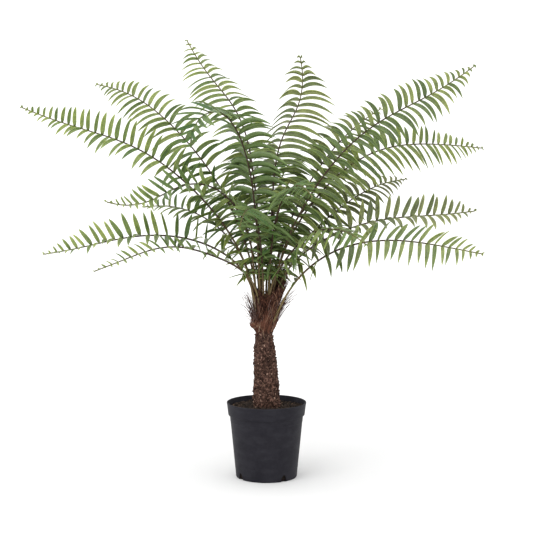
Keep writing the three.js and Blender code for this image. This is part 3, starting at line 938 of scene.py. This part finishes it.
# ---------------------------------------------------------------- fibres and crumbs
def strand_tree():
    """Gives every run of edges a tapering tube, as thick as its points say."""
    tree = GeometryTree("Strands", **{"Sides": "int", "Finish": "material"})
    runs = tree.add("GeometryNodeMeshToCurve", tree.given("Geometry"))
    ring = tree.add("GeometryNodeCurvePrimitiveCircle", Resolution=tree.given("Sides"), Radius=1.0)
    tubes = tree.add("GeometryNodeCurveToMesh", runs, ring, tree.attribute("thick"), True)
    tubes = tree.add("GeometryNodeSetShadeSmooth", tubes)
    tubes = tree.add("GeometryNodeRealizeInstances", tubes)
    return tree.finish(tree.add("GeometryNodeSetMaterial", tubes, Material=tree.given("Finish")))


def strands_mesh(name, strands):
    """strands is a list of (points, thickness at the root, thickness at the tip, tint)."""
    points, edges, thick, tints = [], [], [], []
    for path, root, tip, tint in strands:
        start = len(points)
        points += path
        edges += [(i, i + 1) for i in range(start, len(points) - 1)]
        last = len(path) - 1
        thick += [lerp(root, tip, (i / last) ** 1.5) / 2 for i in range(len(path))]
        tints += [tint] * len(path)
    return mesh_from(name, points, edges=edges, thick=thick, tint=tints)


STRANDS = strand_tree()


def crumb(name, seed, stretch, detail=2):
    """A small broken lump, closed, with a few dozen faces."""
    bpy.ops.mesh.primitive_ico_sphere_add(subdivisions=detail, radius=0.5)
    lump = bpy.context.object
    lump.name = name
    spot = Vector((seed * 7.1, seed * 3.3, seed * 1.7))
    for vertex in lump.data.vertices:
        way = vertex.co.normalized()
        bulge = 1 + 0.45 * noise.noise(way * 1.6 + spot)
        vertex.co = Vector((way.x * stretch, way.y, way.z * 0.7)) * 0.5 * bulge
    smooth_shade(lump.data)
    return lump


def scatter_tree():
    """Scatters crumbs over a surface, sunk a little into it."""
    inputs = {"Crumbs": "object", "Density": "float", "Smallest": "float", "Largest": "float"}
    tree = GeometryTree("Scatter", **inputs, **{"Seed": "int", "Finish": "material"})
    seed = tree.given("Seed")
    node = tree.tree.nodes.new("GeometryNodeDistributePointsOnFaces")
    tree.feed(node.inputs["Mesh"], tree.given("Geometry"))
    tree.feed(node.inputs["Density"], tree.given("Density"))
    tree.feed(node.inputs["Seed"], seed)
    info = tree.tree.nodes.new("GeometryNodeObjectInfo")
    tree.feed(info.inputs["Object"], tree.given("Crumbs"))
    size = tree.chance(0.0, 1.0, seed, 1)
    size = tree.math("POWER", size, 1.8)
    size = tree.remap(size, 0.0, 1.0, tree.given("Smallest"), tree.given("Largest"))
    turn = tree.add(
        "ShaderNodeCombineXYZ",
        X=tree.chance(0.0, 6.3, seed, 2),
        Y=tree.chance(0.0, 6.3, seed, 3),
        Z=tree.chance(0.0, 6.3, seed, 4),
    )
    turn = tree.add("FunctionNodeEulerToRotation", turn)
    points = tree.store(node.outputs["Points"], "tint", tree.chance(0.0, 1.0, seed, 5))
    lumps = tree.add(
        "GeometryNodeInstanceOnPoints",
        points,
        Instance=info.outputs["Geometry"],
        Rotation=turn,
        Scale=tree.add("ShaderNodeCombineXYZ", size, size, size),
    )
    lumps = tree.add("GeometryNodeRealizeInstances", lumps)
    return tree.finish(tree.add("GeometryNodeSetMaterial", lumps, Material=tree.given("Finish")))


SCATTER = scatter_tree()


def scatter(name, surface, shape, density, smallest, largest, seed, finish):
    values = {"Crumbs": shape, "Density": density, "Smallest": smallest, "Largest": largest}
    return grow(name, surface, SCATTER, **values, Seed=seed, Finish=finish)


# ---------------------------------------------------------------- soil
def make_soil():
    wall = POT_BODY_TOP_RADIUS + RIM_BAND_STEP - POT_WALL - FIT_GAP
    inner = lerp(POT_BASE_RADIUS, POT_BODY_TOP_RADIUS, 0.02) - POT_WALL - FIT_GAP
    step = POT_HEIGHT - RIM_BAND_HEIGHT + POT_WALL + FIT_GAP
    rings = 26
    profile = [(0, SOIL_LOW[2]), (inner, SOIL_LOW[2])]
    profile += [(POT_BODY_TOP_RADIUS - POT_WALL - FIT_GAP, step), (wall, step + 0.001)]
    for i in range(rings):
        t = i / (rings - 1)
        profile.append((lerp(wall + 0.001, 0.018, t), SOIL_TOP + SOIL_MOUND * t**2))
    profile.append((0, SOIL_TOP + SOIL_MOUND))

    def uneven(angle, r, z):
        if z < SOIL_TOP - 0.0001:
            return r, z
        spot = Vector((r * math.cos(angle), r * math.sin(angle), 0))
        rough = 0.0016 * noise.noise(spot * 90) + 0.0012 * noise.noise(spot * 260)
        return r, z + rough - 0.001

    surface = smooth_shade(turned("compost", profile, 120, uneven))
    shape = crumb("crumb", 3, 1.5, 1)
    crumbs = scatter("soil_crumbs", top_faces(surface), shape, 120000, 0.0016, 0.0062, 11, CRUMB)
    bpy.data.objects.remove(shape)
    surface.materials.append(SOIL)
    add_piece(place("soil_body", surface), "soil", "potting_soil")
    add_piece(crumbs, "soil")


def top_faces(mesh):
    """The faces of a mesh that look up, as a mesh of their own."""
    keep = [p for p in mesh.polygons if p.normal.z > 0.5 and p.center.z > SOIL_TOP - 0.01]
    return mesh_from("top_faces", [v.co for v in mesh.vertices], [tuple(p.vertices) for p in keep])


# ---------------------------------------------------------------- trunk
def trunk_radius(z):
    low = SOIL_TOP + SOIL_MOUND
    t = min(max((z - low) / (TRUNK_TOP - low), 0), 1)
    return lerp(TRUNK_BASE_RADIUS, TRUNK_NECK_RADIUS, t * t)


def trunk_bumps(angle, z):
    """How far the matted roots stand out at a place on the trunk."""
    spot = Vector((math.cos(angle) * 0.024, math.sin(angle) * 0.024, z))
    swell = 0.0036 * noise.noise(spot * 30) + 0.0026 * noise.noise(spot * 85)
    gaps = noise.voronoi(spot * 190)[0]
    knobs = 0.0020 * min(1.0, 1.8 * (gaps[1] - gaps[0]))
    return swell + knobs + 0.0009 * noise.noise(spot * 420)


def make_trunk():
    low, steps, segments = SOIL_TOP - 0.012, 190, 168
    profile = [(0, low)]
    for i in range(steps + 1):
        profile.append((1, lerp(low, TRUNK_TOP + 0.006, i / steps)))
    profile.append((0, TRUNK_TOP + 0.006))

    def bumpy(angle, _, z):
        return trunk_radius(z) - 0.0026 + trunk_bumps(angle, z), z

    mesh = smooth_shade(turned("root_mantle", profile, segments, bumpy))
    for vertex in mesh.vertices:
        vertex.co.x += trunk_shift(vertex.co.z)
    bare = mesh.copy()
    mesh.materials.append(BARK)
    add_piece(place("trunk_mantle", mesh), "trunk", "trunk")
    chip = crumb("chip", 5, 2.1, 1)
    add_piece(scatter("trunk_crumbs", bare, chip, 150000, 0.0016, 0.0056, 21, MAT_CRUMB), "trunk")
    bpy.data.objects.remove(chip)

    chance = random.Random(5)
    strands = []
    for _ in range(TRUNK_ROOTS):
        angle = chance.uniform(0, 2 * math.pi)
        z = chance.uniform(SOIL_TOP, TRUNK_TOP)
        drift = chance.gauss(0, 0.9)
        length = chance.uniform(0.008, 0.026)
        thick = chance.uniform(0.0005, 0.0010)
        lift = chance.uniform(-0.0004, 0.0012)
        path = []
        for i in range(8):
            t = i / 7
            here = z - length * t * math.cos(drift)
            sway = 0.12 * math.sin(5 * t + angle * 9)
            there = angle + length * t * math.sin(drift) / 0.024 + sway
            here = max(here, SOIL_TOP - 0.002)
            r = trunk_radius(here) - 0.0008 + trunk_bumps(there, here) * 0.5 + lift
            path.append((r * math.cos(there) + trunk_shift(here), r * math.sin(there), here))
        strands.append((path, thick, thick * 0.4, chance.random()))
    roots = strands_mesh("roots", strands)
    add_piece(grow("trunk_roots", roots, STRANDS, Sides=5, Finish=ROOT), "trunk")


# ---------------------------------------------------------------- crown sheath
SHEATH_STRANDS = 800
KNOT_STRANDS = 170
FOOT_STRANDS = 150
SHEATH_HAIRS = 160
STRAY_STRANDS = 80
RIM_TUFT_STRANDS = 120
SHEATH_PROFILE = (0.0178, 0.0228, 0.0248, 0.0250, 0.0255, 0.0275, 0.0315, 0.0370, 0.0420)
KNOT_AZIMUTH = -142
KNOT_HEIGHT = 0.015
KNOT_SWELL = 0.0120
KNOT_SPREAD = 38
KNOT_DEPTH = 0.0095


def sheath_share(z):
    return min(max((z - SHEATH_BOTTOM) / (SHEATH_TOP - SHEATH_BOTTOM), 0), 1)


def sheath_point(angle, z, stand):
    """A point on the funnel, which leans to the right as it opens and bulges at the knot."""
    t = sheath_share(z)
    off = math.degrees(angle) - KNOT_AZIMUTH
    off = (off + 180) % 360 - 180
    above = z - SHEATH_BOTTOM - KNOT_HEIGHT
    knot = KNOT_SWELL * math.exp(-((off / KNOT_SPREAD) ** 2) - (above / KNOT_DEPTH) ** 2)
    r = spline(SHEATH_PROFILE, min(t, 0.999)) + stand + knot
    x = trunk_shift(TRUNK_TOP) + SHEATH_LEAN * t**1.5 + r * math.cos(angle)
    return (x, r * math.sin(angle), z)


def sheath_rim(angle):
    """Height of the ragged rim: two lobes, left and right, with a dip front and back."""
    lobes = abs(math.cos(angle)) ** 0.8
    return SHEATH_BOTTOM + 0.062 + 0.042 * lobes + 0.007 * math.cos(angle)


def sheath_core():
    """A thin-walled cup with a ragged two-lobed rim."""
    segments, steps, floor = 120, 40, SHEATH_BOTTOM + 0.055
    vertices, faces = [], []
    for inside in (False, True):
        for i in range(steps + 1):
            t = 1 - i / steps if inside else i / steps
            for k in range(segments):
                angle = 2 * math.pi * k / segments
                spot = Vector((math.cos(angle) * 5, math.sin(angle) * 5, 3))
                rim = sheath_rim(angle) + 0.007 * noise.noise(spot) + 0.004 * noise.noise(spot * 4)
                z = lerp(floor if inside else SHEATH_BOTTOM - 0.003, rim, t)
                rough = 0.0024 * noise.noise(
                    Vector((math.cos(angle) * 6, math.sin(angle) * 6, z * 70))
                )
                vertices.append(sheath_point(angle, z, rough - (0.0060 if inside else 0.0026)))
    rows = 2 * (steps + 1)
    for i in range(rows - 1):
        for k in range(segments):
            a, b = i * segments + k, i * segments + (k + 1) % segments
            faces.append((a, b, b + segments, a + segments))
    foot, head = len(vertices), len(vertices) + 1
    x = trunk_shift(TRUNK_TOP)
    vertices += [(x, 0, SHEATH_BOTTOM - 0.003), (x, 0, floor)]
    last = (rows - 1) * segments
    for k in range(segments):
        after = (k + 1) % segments
        faces += [(after, k, foot), (last + k, last + after, head)]
    # The core sits near the dark end of the fibre colours: painted shade, seen in the gaps between
    # the strands laid over it.
    mesh = mesh_from("sheath_core", vertices, faces, tint=[0.15] * len(vertices))
    mesh.materials.append(CHAFF)
    return smooth_shade(mesh)


def along_funnel(chance, angle, z0, length, drift, stand, fly):
    """A strand that runs up the funnel, then stands away from it by fly."""
    phase, path = chance.uniform(0, 6), []
    for i in range(10):
        t = i / 9
        a = angle + drift * t + 0.05 * math.sin(6 * t + phase)
        path.append(sheath_point(a, z0 + length * t, stand + fly * t**1.6))
    return path


def round_knot(chance, angle, turn, z0, rise, stand):
    """A strand wrapped part of the way round the foot of the funnel."""
    phase, path = chance.uniform(0, 6), []
    for i in range(12):
        t = i / 11
        z = z0 + rise * t + 0.0025 * math.sin(3.1 * t + phase)
        path.append(sheath_point(angle + turn * (t - 0.5), z, stand))
    return path


# Each tan strand round the foot: start and end in degrees, height over the foot, rise.
TAN_WRAPS = (
    (-172, -132, 0.016, 0.006),
    (-160, -128, 0.006, 0.010),
    (-146, -104, 0.024, -0.018),
    (-140, -110, 0.010, 0.010),
    (-122, -96, 0.020, -0.020),
    (-126, -108, 0.002, 0.016),
    (-104, -88, 0.000, -0.012),
    (20, 50, 0.008, 0.012),
    (110, 160, 0.014, -0.008),
)


def make_sheath():
    add_piece(place("sheath_core", sheath_core()), "sheath", "crown_sheath")
    chance = random.Random(8)
    strands, hairs, tans = [], [], []
    for _ in range(SHEATH_STRANDS):
        angle = chance.uniform(-math.pi, math.pi)
        z0 = chance.uniform(SHEATH_BOTTOM - 0.004, SHEATH_BOTTOM + 0.075)
        room = sheath_rim(angle) + chance.uniform(-0.012, 0.010) - z0
        length = min(chance.uniform(0.025, 0.07), max(room, 0.018))
        drift = chance.gauss(0, 0.55)
        stand = chance.uniform(-0.0015, 0.0016)
        fly = chance.uniform(0, 0.005)
        path = along_funnel(chance, angle, z0, length, drift, stand, fly)
        clump = 0.5 + 1.3 * noise.noise(Vector((math.cos(angle) * 3, math.sin(angle) * 3, z0 * 25)))
        tint = min(max(clump + chance.uniform(-0.3, 0.3), 0), 1) * 0.98
        strands.append((path, chance.uniform(0.0006, 0.0024), 0.0004, tint))
    for _ in range(KNOT_STRANDS):
        angle = math.radians(chance.gauss(KNOT_AZIMUTH, 32))
        turn = math.radians(chance.uniform(30, 100)) * chance.choice((-1, 1))
        z0 = SHEATH_BOTTOM + chance.gauss(KNOT_HEIGHT, 0.005)
        path = round_knot(
            chance, angle, turn, z0, chance.uniform(-0.006, 0.010), chance.uniform(0, 0.0022)
        )
        strands.append((path, chance.uniform(0.0006, 0.0014), 0.0004, chance.uniform(0.45, 0.98)))
    for _ in range(FOOT_STRANDS):
        angle = chance.uniform(-math.pi, math.pi)
        drop = -chance.uniform(0.006, 0.018)
        path = []
        for i in range(8):
            t = i / 7
            x, y, z = sheath_point(
                angle + 0.3 * t * chance.uniform(0.6, 1), SHEATH_BOTTOM + 0.006, 0
            )
            inward = 1 - 0.27 * smoothstep(t * 1.4)
            centre = trunk_shift(TRUNK_TOP)
            path.append((centre + (x - centre) * inward, y * inward, z + drop * t))
        strands.append((path, chance.uniform(0.0006, 0.0014), 0.0004, chance.random()))
    for _ in range(SHEATH_HAIRS):
        angle = chance.choice((0, math.pi)) + chance.gauss(0, 0.5)
        z0 = SHEATH_BOTTOM + chance.uniform(0.004, 0.045)
        fly = chance.uniform(0.004, 0.026)
        path = along_funnel(
            chance, angle, z0, chance.uniform(0.020, 0.060), chance.gauss(0, 0.3), 0, fly
        )
        hairs.append((path, 0.0006, 0.00028, chance.random()))
    for _ in range(STRAY_STRANDS):
        angle = chance.choice((0, math.pi)) + chance.gauss(0, 0.45)
        z0 = SHEATH_BOTTOM + chance.uniform(0.006, 0.035)
        fly, length = chance.uniform(0.014, 0.038), chance.uniform(0.036, 0.074)
        path = along_funnel(chance, angle, z0, length, chance.gauss(0, 0.2), 0, fly)
        strands.append((path, 0.0009, 0.0005, chance.random() * 0.9))
    for _ in range(RIM_TUFT_STRANDS):
        angle = math.radians(chance.uniform(10, 80))
        z0, length = SHEATH_BOTTOM + chance.uniform(0.070, 0.095), chance.uniform(0.035, 0.065)
        stand = chance.uniform(-0.016, -0.004)
        path = along_funnel(chance, angle, z0, length, chance.gauss(0, 0.4), stand, 0.004)
        strands.append((path, 0.0020, 0.0005, chance.random() * 0.7))
    for start, end, height, rise in TAN_WRAPS:
        middle, turn = math.radians((start + end) / 2), math.radians(end - start)
        path = round_knot(chance, middle, turn, SHEATH_BOTTOM + height, rise, 0.0022)
        tans.append((path, 0.0013, 0.0006, chance.random()))
    for name, paths, sides, finish in (
        ("sheath_strands", strands, 5, CHAFF),
        ("sheath_hairs", hairs, 3, HAIR),
        ("sheath_tan_strands", tans, 5, TAN),
    ):
        mesh = strands_mesh(name, paths)
        add_piece(grow(name, mesh, STRANDS, Sides=sides, Finish=finish), "sheath")


make_pot()
make_soil()
make_trunk()
make_sheath()
make_fronds()


# ---------------------------------------------------------------- studio
WORLD_STRENGTH = 1.38
FLOOR_GREY = 0.62
GLOW_FROM, GLOW_TO, GLOW_STRENGTH = 0.5, 2.0, 0.45
SENSOR_WIDTH = 36
CAMERA_LENS = 93.95
CAMERA_PLACE = (0, -3.0, 0.740)
CAMERA_PITCH = 5.3


def studio():
    scene = bpy.context.scene
    scene.view_settings.view_transform = "Standard"
    world = bpy.data.worlds.new("studio")
    scene.world = world
    world.use_nodes = True
    world.node_tree.nodes["Background"].inputs["Color"].default_value = (1, 1, 1, 1)
    world.node_tree.nodes["Background"].inputs["Strength"].default_value = WORLD_STRENGTH

    bpy.ops.mesh.primitive_plane_add(size=40)
    floor = bpy.context.object
    floor.name = "floor"
    finish, shade, inputs = material("floor_white", 0.9)
    inputs["Base Color"].default_value = (FLOOR_GREY, FLOOR_GREY, FLOOR_GREY, 1)
    inputs["Emission Color"].default_value = (1, 1, 1, 1)
    # Away from the pot the floor glows a little, so that it meets the pale background.
    distance = shade.add(
        "ShaderNodeVectorMath", shade.place(), settings={"operation": "LENGTH"}, output=1
    )
    glow = shade.remap(distance, GLOW_FROM, GLOW_TO, 0.0, GLOW_STRENGTH, smooth=True)
    shade.tree.links.new(glow, inputs["Emission Strength"])
    floor.data.materials.append(finish)

    def softbox(name, location, target, size, power):
        light = bpy.data.lights.new(name, "AREA")
        light.shape = "RECTANGLE"
        light.size, light.size_y = size
        light.energy = power
        lamp = bpy.data.objects.new(name, light)
        lamp.location = location
        aim = Vector(target) - Vector(location)
        lamp.rotation_euler = aim.to_track_quat("-Z", "Y").to_euler()
        scene.collection.objects.link(lamp)

    softbox("key", (-1.6, -2.2, 2.8), (0, 0, 0.5), (2.4, 2.4), 48)
    softbox("top", (-0.2, 0.0, 3.2), (0, 0, 0.4), (3.0, 3.0), 48)
    softbox("fill", (0.3, -2.8, 0.5), (0, 0, 0.6), (1.8, 1.8), 16)

    camera_data = bpy.data.cameras.new("camera")
    camera_data.sensor_width = SENSOR_WIDTH
    camera_data.lens = CAMERA_LENS
    camera = bpy.data.objects.new("camera", camera_data)
    camera.location = CAMERA_PLACE
    camera.rotation_euler = (math.radians(90 - CAMERA_PITCH), 0, 0)
    scene.collection.objects.link(camera)
    scene.camera = camera


studio()
